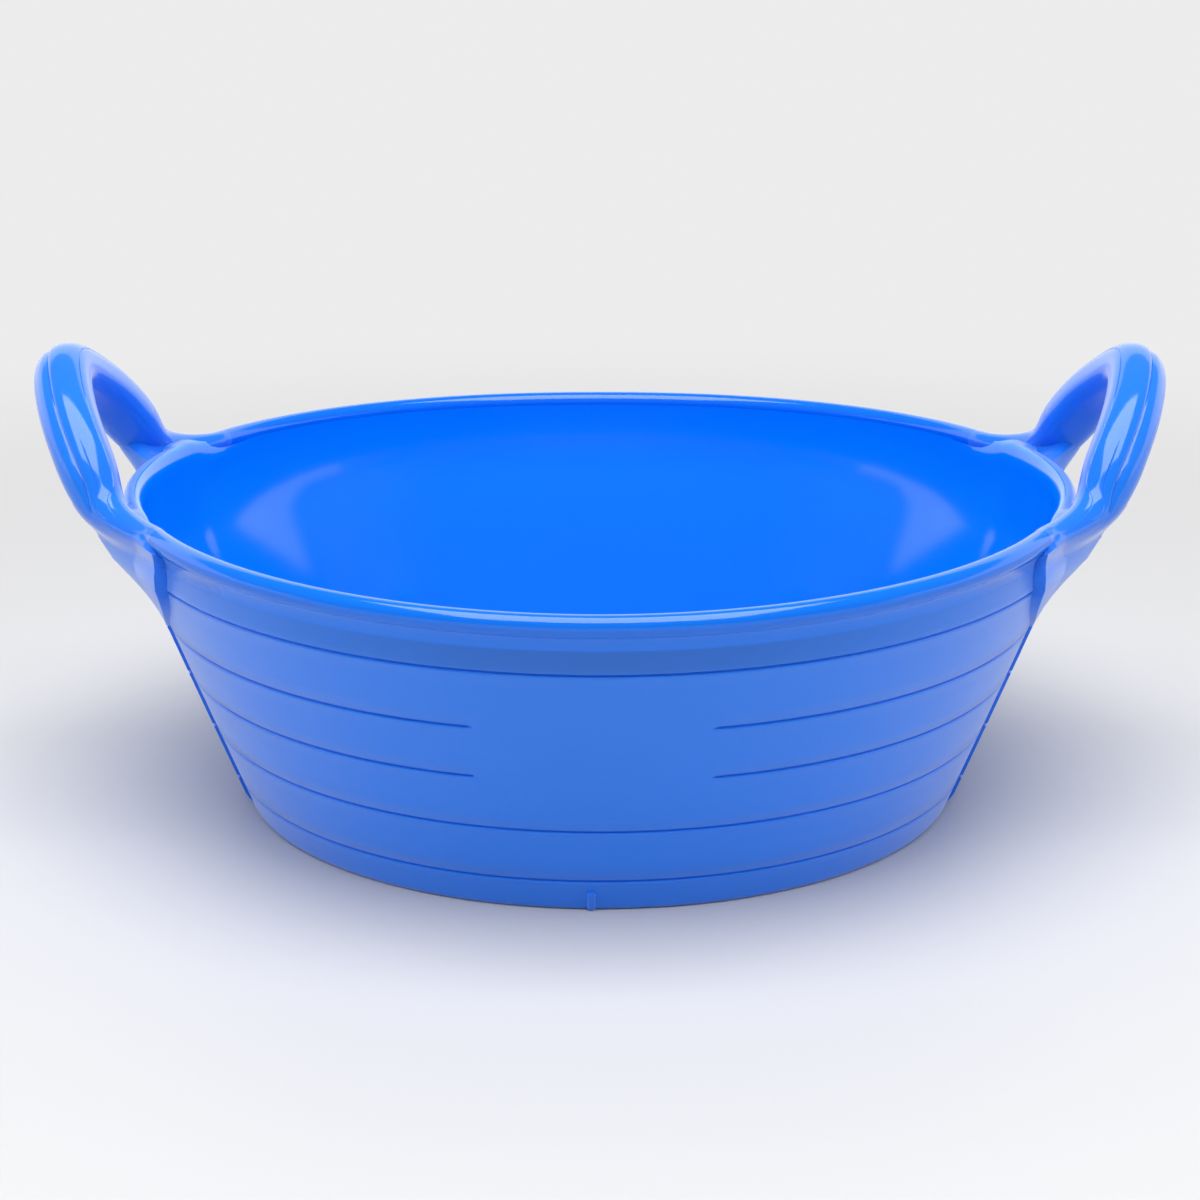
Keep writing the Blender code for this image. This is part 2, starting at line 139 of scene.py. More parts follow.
# Strap and web under a grip
SPREAD_START = 86.0 * MM
SPREAD_HALF_ANGLE = radians(30.0)
WEB_LEAN = 0.48
WEB_FOOT_LEAN = 0.215
WEB_EDGE_FLARE = 4.2 * MM
WEB_EDGE_TUCK = 0.35
WEB_TUCK_FROM = 4.0 * MM
WEB_TUCK_HEIGHT = 9.0 * MM
WEB_START = 87.0 * MM
WEB_RAMP = 18.0 * MM
WEB_FLANK_ANGLE = radians(8.5)
WEB_LEG_ANGLE = radians(14.2)
WEB_END_ANGLE = radians(28.5)
WEB_FALL = 1.5
WEB_SHOULDER_ANGLES = (radians(17.0), radians(26.0))
WEB_LEG_TOP = 144.4 * MM
WEB_TOP_FALL = 1.6
WEB_EDGE_TOP = 133.0 * MM
WEB_SHELF_TOP = 130.0 * MM
WEB_SINK = 1.0 * MM
WEB_ROWS = 22
WEB_INNER_SHARES = np.linspace(-0.975, 0.975, 141)
WEB_EDGE_SHARES = (0.9885, 0.9965, 1.0)
WEB_CROWN_ROWS = 15
STRAP_FOOT = 0.7 * MM
STRAP_RUNOUT = 5.5 * MM
STRAP_FOOT_SHARES = (0.0, 0.1, 0.25, 0.45, 0.7, 1.0)

# Soft fillets and smoothing where wall and web run onto the grips
HANDLE_ZONE = 0.75
INNER_FILLET = 6.0 * MM
OUTER_FILLET = 3.0 * MM
WALL_FILLET_ENDS = (radians(23.0), radians(29.0))
WEB_FILLET = 5.0 * MM
WEB_FILLET_ENDS = (radians(26.0), radians(30.0))
WEB_FILLET_LOSS = 0.85
BLEND_STEPS = 9
SADDLE_ROUNDS = 16
SADDLE_FROM = 131.0 * MM
SADDLE_ANGLE = radians(28.5)
ROOT_ROUNDS = 6
ROOT_FROM = 124.0 * MM
ROOT_ANGLE = radians(22.5)
ROOT_SPREAD = radians(9.0)
GLOSS_ENDS = (1.0 * MM, 8.0 * MM)

# Grip
GRIP_ROOT_ANGLE = radians(26.5)
GRIP_SPAN = 129.8 * MM
GRIP_SWELL = 0.25
KNOT_POWER = 0.75
# Course of the bar's middle and centre of its hole, as shares of reach, half span and rise
GRIP_COURSE = (
    (0.12, 1.0, 0.07),
    (0.37, 0.865, 0.30),
    (0.63, 0.675, 0.60),
    (0.88, 0.36, 0.86),
    (1.0, 0.0, 1.0),
)
HOLE_CENTRE = (0.57, 0.45)
GRIP_SQUARENESS = 0.35
GRIP_TRIM = 0.1 * MM
# Lines along the bar, as angles round its section: 0 faces away from the tub, 90 degrees out of the loop
PARTING_TURN = radians(88.0)
PARTING_HALF_TURN = 0.09
PARTING_SHARPNESS = 1.2
PARTING_STEP_ENDS = (-0.9, 0.3)
VALLEY_HALF_TURN = 0.36
VALLEY_DEPTH = 0.9 * MM
VALLEY_TUB_SIDE = 0.3
LEG_LINE_TURN = radians(112.0)
LEG_LINE_DEPTH = 0.35 * MM
LEG_LINE_STARTS = (0.07, 0.12)
LEG_LINE_STOPS = (0.22, 0.30)
HAND_LINE_TURN = radians(157.0)
HAND_LINE_DEPTH = 0.35 * MM
FINE_LINE_TURN = 0.03
GRIP_OVERLAP = radians(1.2)
GRIP_OVERLAP_RINGS = 4
GRIP_COVER = 0.02 * MM

# Gate nib
NIB_WIDTH = 3.4 * MM
NIB_HEIGHT = 9.3 * MM
NIB_PROUD = 1.8 * MM
NIB_OFFSET = -3.6 * MM
NIB_ROUNDING = 0.7
NIB_ROUND_STEPS = 6

# Plastic: flow marks, fine scuffs, a slightly uneven skin and the haze of handling
FLOW_SCALE = 14.0
FLOW_RANGE = (0.96, 1.03)
SCUFF_SCALE = 420.0
SCUFF_RANGE = (0.85, 1.15)
SCUFF_DEPTH = 0.2 * MM
SCUFF_STRENGTH = 0.05
WAVE_SCALE = 38.0
WAVE_DEPTH = 0.6 * MM
WAVE_STRENGTH = 0.12
PLASTIC_IOR = 1.51
HAZE_ROUGHNESS = 0.4
HAZE_TINT = (0.80, 0.84, 1.0, 1.0)

# Camera and studio
CAMERA_DISTANCE = 1.2
CAMERA_ELEVATION = radians(16.2)
CAMERA_TARGET = Vector((0.0, 0.0, 0.0855))
CAMERA_LENS = 77.76
CAMERA_SENSOR = 36.0
FLOOR_RADIUS = 14.0
FLOOR_ROUGHNESS = 0.6
FLOOR_FAR = (0.84, 0.84, 0.85, 1.0)
FLOOR_FADE = (0.28, 1.15)
# Backdrop: pale low down, dim above, with its edge tilted behind the tub and raised in front of it
SKY_LEAN = 0.75
SKY_FRONT = -0.25
SKY_EDGE = (0.13, 0.19)
SKY_PALE = (1.0, 1.0, 1.0, 1.0)
SKY_DIM = (0.12, 0.12, 0.14, 1.0)
# Lamps: name, place, target, size, whether it shows in reflections
LAMPS = (
    ("overhead", (0.0, -0.55, 1.75), (0.0, -0.3, 0.08), (1.8, 1.7), True),
    ("side_left", (-1.8, -0.3, 0.5), (0.0, 0.0, 0.08), (1.2, 0.8), False),
    ("side_right", (1.8, -0.3, 0.5), (0.0, 0.0, 0.08), (1.2, 0.8), False),
    ("front", (0.0, -1.9, 0.25), (0.0, 0.0, 0.05), (1.6, 0.5), False),
)


class TubSizes(bpy.types.PropertyGroup):
    rim_radius: FloatProperty(
        name="Rim Radius", description="Outer radius of the bead on the rim, at the front",
        default=-RIM_LOW.y - 0.01 * MM, unit="LENGTH")
    rim_height: FloatProperty(
        name="Rim Height", description="Height of the rim's top at the front",
        default=140.5 * MM, unit="LENGTH")
    rim_rise: FloatProperty(
        name="Rim Rise", description="How far the rim sweeps up towards the handles",
        default=5.2 * MM, unit="LENGTH")
    base_radius: FloatProperty(
        name="Base Radius", description="Radius of the wall's cone at the ground",
        default=162.8 * MM, unit="LENGTH")
    bead_radius: FloatProperty(
        name="Bead Radius", description="Radius of the round bead on the rim",
        default=4.8 * MM, unit="LENGTH")
    wall: FloatProperty(
        name="Wall", description="Thickness of the wall", default=2.7 * MM, unit="LENGTH")
    groove_width: FloatProperty(
        name="Fill Line Width", description="Width of the engraved fill lines",
        default=2.2 * MM, unit="LENGTH")
    groove_depth: FloatProperty(
        name="Fill Line Depth", description="Depth of the engraved fill lines",
        default=1.2 * MM, unit="LENGTH")
    panel_half_angle: FloatProperty(
        name="Panel Half Angle", description="Half-angle of the plain front panel",
        default=radians(14.5), subtype="ANGLE", unit="ROTATION")
    strap_thickness: FloatProperty(
        name="Strap Thickness", description="How far the strap stands out of the wall",
        default=1.6 * MM, unit="LENGTH")
    strap_half_angle: FloatProperty(
        name="Strap Half Angle", description="Half-angle of the strap low on the wall",
        default=radians(15.0), subtype="ANGLE", unit="ROTATION")
    columns: IntProperty(
        name="Columns", description="Columns of faces round the tub", default=480, min=48)


class GripSizes(bpy.types.PropertyGroup):
    reach: FloatProperty(
        name="Reach", description="How far the crown of the grip stands outside the rim",
        default=32.6 * MM, unit="LENGTH")
    rise: FloatProperty(
        name="Rise", description="How far the crown of the grip stands above the rim",
        default=53.5 * MM, unit="LENGTH")
    width: FloatProperty(
        name="Width", description="Width of the bar across the loop", default=25.6 * MM, unit="LENGTH")
    depth: FloatProperty(
        name="Depth", description="Depth of the bar in the plane of the loop",
        default=22.6 * MM, unit="LENGTH")
    parting_depth: FloatProperty(
        name="Parting Depth", description="Depth of the parting line on the bar",
        default=0.4 * MM, unit="LENGTH")
    parting_step: FloatProperty(
        name="Parting Step", description="How much lower the outer half of the bar lies at the parting line",
        default=0.5 * MM, unit="LENGTH")
    rings: IntProperty(name="Rings", description="Rings of faces along the bar", default=200, min=24)
    sides: IntProperty(name="Sides", description="Faces round the bar", default=120, min=16)


class PlasticFinish(bpy.types.PropertyGroup):
    # One blue plastic throughout: these four blues differ only as painted light, standing in for how light
    # falls on each surface; the bead and grips are painted darker and the inside a little lighter than the
    # outside of the wall
    satin_blue: FloatVectorProperty(
        name="Satin Blue", description="Colour of the outside of the wall", subtype="COLOR", size=3,
        default=(0.005, 0.190, 0.860), min=0.0, max=1.0)
    gloss_shaded_blue: FloatVectorProperty(
        name="Gloss Blue", description="Colour of the bead", subtype="COLOR", size=3,
        default=(0.002, 0.155, 0.760), min=0.0, max=1.0)
    grip_shaded_blue: FloatVectorProperty(
        name="Grip Blue", description="Colour of the grips", subtype="COLOR", size=3,
        default=(0.010, 0.175, 0.780), min=0.0, max=1.0)
    polish_lit_blue: FloatVectorProperty(
        name="Polish Blue", description="Colour of the inside of the wall", subtype="COLOR", size=3,
        default=(0.000, 0.200, 0.860), min=0.0, max=1.0)
    haze: FloatProperty(
        name="Haze", description="Pale haze on the outside of the wall where it turns away", default=0.62)
    grip_haze: FloatProperty(
        name="Grip Haze", description="Pale haze on the grips where they turn away", default=0.35)
    satin: FloatProperty(
        name="Satin Roughness", description="Roughness of the outside of the wall", default=0.36)
    gloss: FloatProperty(
        name="Gloss Roughness", description="Roughness of the bead and the grips", default=0.11)
    polish: FloatProperty(
        name="Polish Roughness", description="Roughness of the inside of the wall", default=0.12)


class StudioSetting(bpy.types.PropertyGroup):
    floor: FloatVectorProperty(
        name="Floor", description="Colour of the floor", subtype="COLOR", size=3,
        default=(0.585, 0.585, 0.58), min=0.0, max=1.0)
    overhead: FloatProperty(
        name="Overhead Power", description="Power of the large lamp above the front", default=48.0)
    front: FloatProperty(
        name="Front Power", description="Power of the low lamp in front of the tub", default=3.5)
    sides: FloatProperty(
        name="Side Power", description="Power of each lamp beside the tub", default=7.0)
    sky: FloatProperty(name="Sky Strength", description="Strength of the pale backdrop", default=1.35)


def smoothstep(value):
    value = min(max(value, 0.0), 1.0)
    return value * value * (3.0 - 2.0 * value)


def ramp(value, start, end):
    """0 up to the start, 1 from the end on, smooth between them."""
    return smoothstep((value - start) / (end - start))


def from_handle(angle):
    """Unsigned angle from the nearer handle's axis."""
    turn = abs(remainder(angle, 2 * pi))
    return min(turn, pi - turn)


def from_front(angle):
    """Unsigned angle from the front."""
    return abs(remainder(angle + pi / 2, 2 * pi))


def angle_of(vert):
    """Angle of a vertex round the tub."""
    return atan2(vert.co.y, vert.co.x)


def handle_verts(bm, low):
    """Vertices above a height, round the handles."""
    return [v for v in bm.verts if v.co.z > low and from_handle(angle_of(v)) < HANDLE_ZONE]


def arc(centre_r, centre_z, radius, start, end, count):
    """Points (r, z) along an arc in a radial plane."""
    angles = np.linspace(start, end, count)
    return [(centre_r + radius * cos(a), centre_z + radius * sin(a)) for a in angles]


class TubForm:
    """The tub's form from its sizes: where each row of the wall lies at each angle."""

    def __init__(self, sizes):
        self.sizes = sizes
        self.bead_circle = sizes.rim_radius - sizes.bead_radius
        self.bead_height = sizes.rim_height - sizes.bead_radius
        self.slope = (COLLAR_RADIUS - sizes.base_radius) / COLLAR_HEIGHT
        self.lean = atan(self.slope)
        self.wall_across = sizes.wall * hypot(1.0, self.slope)
        self.inner_floor = FOOT_DEPTH + FLOOR
        self.foot_inner = sizes.base_radius - FOOT_WIDTH - BASE_FILLET

    def rise(self, angle, height):
        """Lift of a point on the wall towards the handles; the foot and the floor stay flat."""
        share = max(height - self.inner_floor, 0.0) / (self.sizes.rim_height - self.inner_floor)
        return self.sizes.rim_rise * share * share * abs(cos(angle)) ** RISE_POWER

    def place(self, radius, angle, height):
        """Point of the tub from its radius, its angle and its height before the rise."""
        return Vector((radius * cos(angle), radius * sin(angle), height + self.rise(angle, height)))

    def lip_share(self, angle):
        """1 where the wall ends in the lip, 0 where it carries the bead."""
        return smoothstep((GRIP_ROOT_ANGLE - LIP_START_ANGLE - from_handle(angle)) / LIP_SPREAD_ANGLE)

    def recess_share(self, angle):
        """1 in the recess behind a handle, 0 beside it, sloped at its edge."""
        return smoothstep((RECESS_HALF_ANGLE - from_handle(angle)) / RECESS_SLOPE_ANGLE)

    def groove_share(self, index, angle):
        """1 where a fill line is cut, 0 where it is not."""
        if index not in GROOVE_GAPS:
            return 1.0
        beyond = from_front(angle - PANEL_TURN) - self.sizes.panel_half_angle * GROOVE_GAPS[index]
        return min(max(beyond / GROOVE_RUNOUT, 0.0), 1.0)

    def outside(self, height):
        """Outer radius of the plain wall, a cone up to the collar and nearly upright above it."""
        if height <= COLLAR_HEIGHT:
            return self.sizes.base_radius + self.slope * height
        return COLLAR_RADIUS + COLLAR_LEAN * (height - COLLAR_HEIGHT) / (COVE_START - COLLAR_HEIGHT)

    def groove_rows(self, index):
        """Rows of one fill line as (height, depth), from below."""
        half = self.sizes.groove_width / 2
        depth = self.sizes.groove_depth
        return [(GROOVE_HEIGHTS[index] + half * across, depth * down) for across, down in GROOVE_SECTION]

    def seat_rows(self, share):
        """Top of the wall: under and inside the bead, or a rounded lip between a grip's legs."""
        r, z, bead = self.bead_circle, self.bead_height, self.sizes.bead_radius
        hidden = []
        for entry in SEAT_ENTRY_SHARES:
            hidden += arc(r, z, bead * entry, COVE_MEETS_BEAD, COVE_MEETS_BEAD, 1)
        hidden += arc(r, z, bead * SEAT_SHARE, *SEAT_ENDS, FILLET_ROWS)
        hidden += arc(r, z, bead, INSIDE_MEETS_BEAD, INSIDE_MEETS_BEAD, 1)
        lip = []
        for turn in np.linspace(0.0, pi, len(hidden)):
            c, s = cos(turn), sin(turn)
            if c > 0:
                lip.append((r + bead * c ** LIP_SQUARENESS,
                            self.sizes.rim_height + LIP_CROWN * (s ** LIP_SQUARENESS - 1.0)))
            else:
                lip.append((r + LIP_INSIDE * c, self.sizes.rim_height + LIP_INSIDE_DROP * (s - 1.0)))
        return [(a[0] + (b[0] - a[0]) * share, a[1] + (b[1] - a[1]) * share) for a, b in zip(hidden, lip)]

    def cove_rows(self, share):
        """Hollow sweep from the collar out to the bead, straight where the wall ends in the lip."""
        top = self.seat_rows(share)[0]
        foot = self.outside(COVE_START)
        rows = []
        for i in range(1, COVE_STEPS):
            step = i / COVE_STEPS
            bend = step ** (1.0 + COVE_BEND * (1.0 - share))
            rows.append((foot + (top[0] - foot) * bend, COVE_START + (top[1] - COVE_START) * step))
        return rows

    def wall_face(self, height, angle):
        """Outer radius of the wall at this height and angle, up to the foot of its seat or lip."""
        heel = BASE_FILLET * (1.0 - sin(self.lean))
        if height < heel:
            below = BASE_FILLET - height
            return self.outside(BASE_FILLET) - BASE_FILLET + sqrt(BASE_FILLET ** 2 - below ** 2)
        if height <= COVE_START:
            return self.outside(height)
        lip = self.lip_share(angle)
        rows = [(self.outside(COVE_START), COVE_START)] + self.cove_rows(lip) + self.seat_rows(lip)[:1]
        return float(np.interp(height, [z for _, z in rows], [r for r, _ in rows]))

    def wall_rows(self, angle):
        """Radii and heights of the wall's outside, from the base fillet to the cove."""
        rows = []
        low = BASE_FILLET
        for index in range(len(GROOVE_HEIGHTS)):
            groove = self.groove_rows(index)
            for share in ROWS_BETWEEN_LINES:
                z = low + (groove[0][0] - low) * share
                rows.append((self.outside(z), z))
            for z, depth in groove:
                rows.append((self.outside(z) - depth * self.groove_share(index, angle), z))
            low = groove[-1][0]
        for z in np.linspace(low, COVE_START, COLLAR_ROWS)[1:]:
            rows.append((self.outside(float(z)), float(z)))
        return rows

    def outer_rows(self, angle):
        """Radii and heights of the underside, the wall's outside and its top at this angle."""
        lip = self.lip_share(angle)
        rows = [(0.0, FOOT_DEPTH - GATE_HEIGHT), (GATE_RADIUS * 0.8, FOOT_DEPTH - GATE_HEIGHT),
                (GATE_RADIUS, FOOT_DEPTH), (self.foot_inner * 0.5, FOOT_DEPTH),
                (self.foot_inner - FOOT_DEPTH, FOOT_DEPTH),
                (self.foot_inner - FOOT_CHAMFER, FOOT_CHAMFER / 2), (self.foot_inner + FOOT_CHAMFER, 0.0)]
        heel_r = self.outside(BASE_FILLET) - BASE_FILLET
        rows += arc(heel_r, BASE_FILLET, BASE_FILLET, -pi / 2, -self.lean, HEEL_ROWS)
        rows += self.wall_rows(angle)
        rows += self.cove_rows(lip)
        return rows + self.seat_rows(lip)

    def inner_rows(self, angle):
        """Radii and heights of the wall's inside and the inner floor at this angle, from the top."""
        recess = RECESS_DEPTH * self.recess_share(angle)
        rows = []
        top_r, top_z = self.seat_rows(self.lip_share(angle))[-1]
        foot_r = self.outside(INNER_BEND) - self.wall_across
        excess = top_r - foot_r - self.slope * (top_z - INNER_BEND)
        for share in np.linspace(1.0, 0.0, INSIDE_TOP_ROWS)[1:-1]:
            z = INNER_BEND + (top_z - INNER_BEND) * float(share)
            r = foot_r + self.slope * (z - INNER_BEND) + excess * float(share) ** 2
            rows.append((r + recess * (1.0 - smoothstep(share * RECESS_TOP_FADE)), z))
        centre_z = self.inner_floor + FLOOR_FILLET
        centre_r = self.outside(centre_z) - self.wall_across - FLOOR_FILLET / cos(self.lean)
        for share in np.linspace(1.0, 0.0, INSIDE_ROWS)[:-1]:
            z = centre_z + (INNER_BEND - centre_z) * float(share)
            rows.append((self.outside(z) - self.wall_across + recess, z))
        for r, z in arc(centre_r, centre_z, FLOOR_FILLET, -self.lean, -pi / 2, FILLET_ROWS):
            rows.append((r + recess * (z - self.inner_floor) / FLOOR_FILLET, z))
        return rows + [(self.foot_inner * share, self.inner_floor) for share in (0.9, 0.5, 0.0)]


def add_piece(name, bm, materials, node_names=()):
    """Object at the origin from a bmesh, smooth but for its sharp edges, which rides on the tub."""
    mesh = bpy.data.meshes.new(name)
    bm.to_mesh(mesh)
    bm.free()
    mesh.shade_smooth()
    mesh.set_sharp_from_angle(angle=SHARP_ANGLE)
    for material in materials:
        mesh.materials.append(material)
    piece = bpy.data.objects.new(name, mesh)
    bpy.context.scene.collection.objects.link(piece)
    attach(piece, "root")
    if node_names:
        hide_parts(*node_names)
    return piece


def feed(tree, socket, value):
    """Sets an input socket to a value, or links another node's output to it."""
    if isinstance(value, bpy.types.NodeSocket):
        tree.links.new(value, socket)
    else:
        socket.default_value = value


def node(tree, kind, **inputs):
    """New shader node with its inputs fed by name."""
    made = tree.nodes.new(kind)
    for name, value in inputs.items():
        feed(tree, made.inputs[name.replace("_", " ")], value)
    return made


def math_node(tree, operation, first, second):
    """Math node on two values, as its output socket."""
    made = tree.nodes.new("ShaderNodeMath")
    made.operation = operation
    for socket, value in zip(made.inputs, (first, second)):
        feed(tree, socket, value)
    return made.outputs[0]


def mixed(tree, kind, factor, first, second):
    """Mix of two values or colours, as its output socket."""
    made = tree.nodes.new("ShaderNodeMix")
    made.data_type = kind
    for name, value in (("Factor", factor), ("A", first), ("B", second)):
        feed(tree, made.inputs[name], value)
    return made.outputs["Result"]


def stored(tree, name):
    """Number stored at the vertices, as an output socket."""
    made = tree.nodes.new("ShaderNodeAttribute")
    made.attribute_name = name
    return made.outputs["Fac"]


def blue_plastic(name, blue, roughness, haze=0.0, near=None):
    """Polyethylene with flow marks, scuffs and an uneven skin; near is its look beside the grips, in a
    darker blue that is painted shade, and brings the painted shade under the bead.
    """
    found = bpy.data.materials.get(name)
    if found:
        return found
    material = bpy.data.materials.new(name)
    material.use_nodes = True
    tree = material.node_tree
    shader = tree.nodes["Principled BSDF"]
    place = tree.nodes.new("ShaderNodeTexCoord").outputs["Object"]
    blue = Vector(blue)
    deep, pale = ((*(blue * share), 1.0) for share in FLOW_RANGE)
    cloud = node(tree, "ShaderNodeTexNoise", Vector=place, Scale=FLOW_SCALE, Detail=3.0)
    colour = mixed(tree, "RGBA", cloud.outputs["Fac"], deep, pale)
    fine = node(tree, "ShaderNodeTexNoise", Vector=place, Scale=SCUFF_SCALE, Detail=2.0)
    low, high = (roughness * share for share in SCUFF_RANGE)
    spread = node(tree, "ShaderNodeMapRange", Value=fine.outputs["Fac"], To_Min=low, To_Max=high)
    rough = spread.outputs["Result"]
    if near:
        near_shaded_blue, near_roughness = near
        # Painted shade: the collar under the bead is darkened where the bead's shadow falls
        colour = mixed(tree, "RGBA", stored(tree, "shade"), colour, (*(blue * COLLAR_PAINTED_SHADE), 1.0))
        # Beside the grips and bead the wall takes their darker blue, which is painted shade, and their gloss
        colour = mixed(tree, "RGBA", stored(tree, "gloss"), colour, (*near_shaded_blue, 1.0))
        rough = mixed(tree, "FLOAT", stored(tree, "gloss"), rough, near_roughness)
    wave = node(tree, "ShaderNodeTexNoise", Vector=place, Scale=WAVE_SCALE, Detail=1.0)
    swell = node(tree, "ShaderNodeBump", Strength=WAVE_STRENGTH, Distance=WAVE_DEPTH,
                 Height=wave.outputs["Fac"])
    bump = node(tree, "ShaderNodeBump", Strength=SCUFF_STRENGTH, Distance=SCUFF_DEPTH,
                Height=fine.outputs["Fac"], Normal=swell.outputs["Normal"])
    tree.links.new(colour, shader.inputs["Base Color"])
    tree.links.new(rough, shader.inputs["Roughness"])
    tree.links.new(bump.outputs["Normal"], shader.inputs["Normal"])
    shader.inputs["IOR"].default_value = PLASTIC_IOR
    shader.inputs["Sheen Weight"].default_value = haze
    shader.inputs["Sheen Roughness"].default_value = HAZE_ROUGHNESS
    shader.inputs["Sheen Tint"].default_value = HAZE_TINT
    return material


def tub_plastic(finish, kind):
    """Plastic of one kind of surface: satin wall, polished inside, glossy bead or hazed grip; the kinds
    share one plastic, and their blues differ only as painted light and shade.
    """
    kinds = {
        "satin": (finish.satin_blue, finish.satin, finish.haze, (finish.gloss_shaded_blue, finish.gloss)),
        "polished": (finish.polish_lit_blue, finish.polish),
        "gloss": (finish.gloss_shaded_blue, finish.gloss),
        "grip": (finish.grip_shaded_blue, finish.gloss, finish.grip_haze),
    }
    return blue_plastic("blue_" + kind, *kinds[kind])


def spin_profile(rows, columns):
    """Skin turned round the Z axis from rows (r, z), with each vertex marked with its row."""
    bm = bmesh.new()
    row_mark = bm.verts.layers.int.new("row")
    verts = []
    for index, (r, z) in enumerate(rows):
        vert = bm.verts.new((r, 0.0, z))
        vert[row_mark] = index
        verts.append(vert)
    edges = [bm.edges.new(pair) for pair in zip(verts, verts[1:])]
    bmesh.ops.spin(bm, geom=verts + edges, cent=(0.0, 0.0, 0.0), axis=(0.0, 0.0, 1.0),
                   angle=2 * pi, steps=columns, use_merge=True, use_duplicate=False)
    return bm, row_mark


def snapped(angle, marks, pitch):
    """The angle, or the mark that lies within half a column of it."""
    for mark in marks:
        if abs(remainder(angle - mark, 2 * pi)) < pitch / 2:
            return mark
    return angle


def blend_into(bm, verts, tree, reach_at):
    """Moves vertices out along their normals onto another skin, with a fillet of reach_at(vertex)."""
    bm.normal_update()
    moves = []
    for vert in verts:
        reach = reach_at(vert)
        if reach <= 0.0:
            continue

        def room(height):
            """Smooth union of the skin itself and the other one, at this height above the skin."""
            point = vert.co + vert.normal * height
            near, normal, _, distance = tree.find_nearest(point)
            other = copysign(distance, (point - near).dot(normal))
            overlap = max(reach - abs(height - other), 0.0)
            return min(height, other) - overlap * overlap / (4 * reach)

        if room(0.0) >= 0.0:
            continue
        low, high = 0.0, reach
        if room(high) > 0.0:
            for _ in range(BLEND_STEPS):
                middle = (low + high) / 2
                if room(middle) > 0.0:
                    high = middle
                else:
                    low = middle
        moves.append((vert, vert.normal * high))
    for vert, move in moves:
        vert.co += move


def fair(bm, low, centre, spread, rounds):
    """Smooths the skin above a height, most at one angle from the handle and less away from it."""
    for k in range(rounds):
        reach = spread * (1.0 - k / rounds)
        verts = [v for v in bm.verts if v.co.z > low
                 and abs(from_handle(angle_of(v)) - centre) < reach]
        bmesh.ops.smooth_vert(bm, verts=verts, factor=0.5, use_axis_x=True, use_axis_y=True, use_axis_z=True)


def mark_gloss(bm, tree):
    """Marks how close each vertex lies to the bead or a grip, near which the skin is glossy too and takes
    the bead's darker blue, which is painted shade.
    """
    gloss_and_shade_mark = bm.verts.layers.float.new("gloss")
    for vert in handle_verts(bm, COLLAR_HEIGHT):
        distance = tree.find_nearest(vert.co)[3]
        vert[gloss_and_shade_mark] = 1.0 - ramp(distance, *GLOSS_ENDS)


def natural_spline(points, spare=0):
    """Smooth curve as a function of 0..1 to place and direction; spare end points only steer it."""
    points = np.array(points)
    knots = np.concatenate(([0.0], np.cumsum(np.linalg.norm(np.diff(points, axis=0), axis=1) ** KNOT_POWER)))
    steps = np.diff(knots)
    count = len(points)
    matrix = np.eye(count)
    right = np.zeros_like(points)
    for i in range(1, count - 1):
        matrix[i, i - 1:i + 2] = (steps[i - 1], 2 * (steps[i - 1] + steps[i]), steps[i])
        after = (points[i + 1] - points[i]) / steps[i]
        before = (points[i] - points[i - 1]) / steps[i - 1]
        right[i] = 6 * (after - before)
    bend = np.linalg.solve(matrix, right)

    def evaluate(share):
        t = knots[spare] + share * (knots[count - 1 - spare] - knots[spare])
        i = min(int(np.searchsorted(knots, t, side="right")) - 1, count - 2)
        h = steps[i]
        a, b = (knots[i + 1] - t) / h, (t - knots[i]) / h
        place_at = (a * points[i] + b * points[i + 1]
                    + ((a ** 3 - a) * bend[i] + (b ** 3 - b) * bend[i + 1]) * h * h / 6)
        along = ((points[i + 1] - points[i]) / h
                 + (-(3 * a * a - 1) * bend[i] + (3 * b * b - 1) * bend[i + 1]) * h / 6)
        return Vector(place_at), Vector(along).normalized()
    return evaluate


def loft(rings):
    """Closed body through a row of closed rings: each ring is extruded from the last one."""
    bm = bmesh.new()
    ring = [bm.verts.new(p) for p in rings[0]]
    bm.faces.new(ring)
    for points in rings[1:]:
        edges = [bm.edges.get((a, b)) for a, b in zip(ring, ring[1:] + ring[:1])]
        made = bmesh.ops.extrude_edge_only(bm, edges=edges)["geom"]
        fresh = {v for v in made if isinstance(v, bmesh.types.BMVert)}
        following = []
        for vert, point in zip(ring, points):
            partner = next(e.other_vert(vert) for e in vert.link_edges if e.other_vert(vert) in fresh)
            partner.co = point
            following.append(partner)
        ring = following
    bm.faces.new(ring)
    bmesh.ops.recalc_face_normals(bm, faces=bm.faces)
    return bm


def notch(turn, place, half_width, sharpness):
    """1 at a line along the bar, falling to 0 at half_width to either side."""
    return max(1.0 - abs(turn - place) / half_width, 0.0) ** sharpness


def grip_turns(grip):
    """Angles of the points round the bar, closer together at its fine lines."""
    turns = [2 * pi * k / grip.sides for k in range(grip.sides)]
    for line, count in ((PARTING_TURN, 3), (LEG_LINE_TURN, 1), (HAND_LINE_TURN, 1)):
        turns = [t for t in turns if abs(t - line) > FINE_LINE_TURN * (count + 0.3)]
        turns += [line + FINE_LINE_TURN * step for step in range(-count, count + 1)]
    return sorted(turns)


